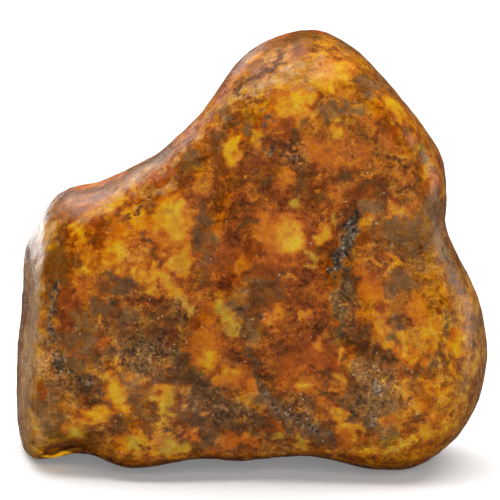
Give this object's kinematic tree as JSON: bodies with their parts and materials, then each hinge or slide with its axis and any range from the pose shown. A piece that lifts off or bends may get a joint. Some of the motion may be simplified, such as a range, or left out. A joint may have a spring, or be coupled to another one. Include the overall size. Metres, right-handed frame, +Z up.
{
  "type": "nephrite pebble",
  "caption": "Fist-sized river pebble of brown and amber nephrite, a blunt three-cornered slab that stands on its lower edge.",
  "frame": {"origin": "below the middle of the stone, on the surface it stands on", "axes": "+X along the broad face to the side of the round lobe, +Y away from the broad front face, +Z up to the crown"},
  "size_m": [0.0916, 0.0456, 0.0823],
  "materials": {
    "nephrite": "water-worn, waxy gloss"
  },
  "bodies": {
    "root": {"pebble": "nephrite"}
  },
  "joints": []
}
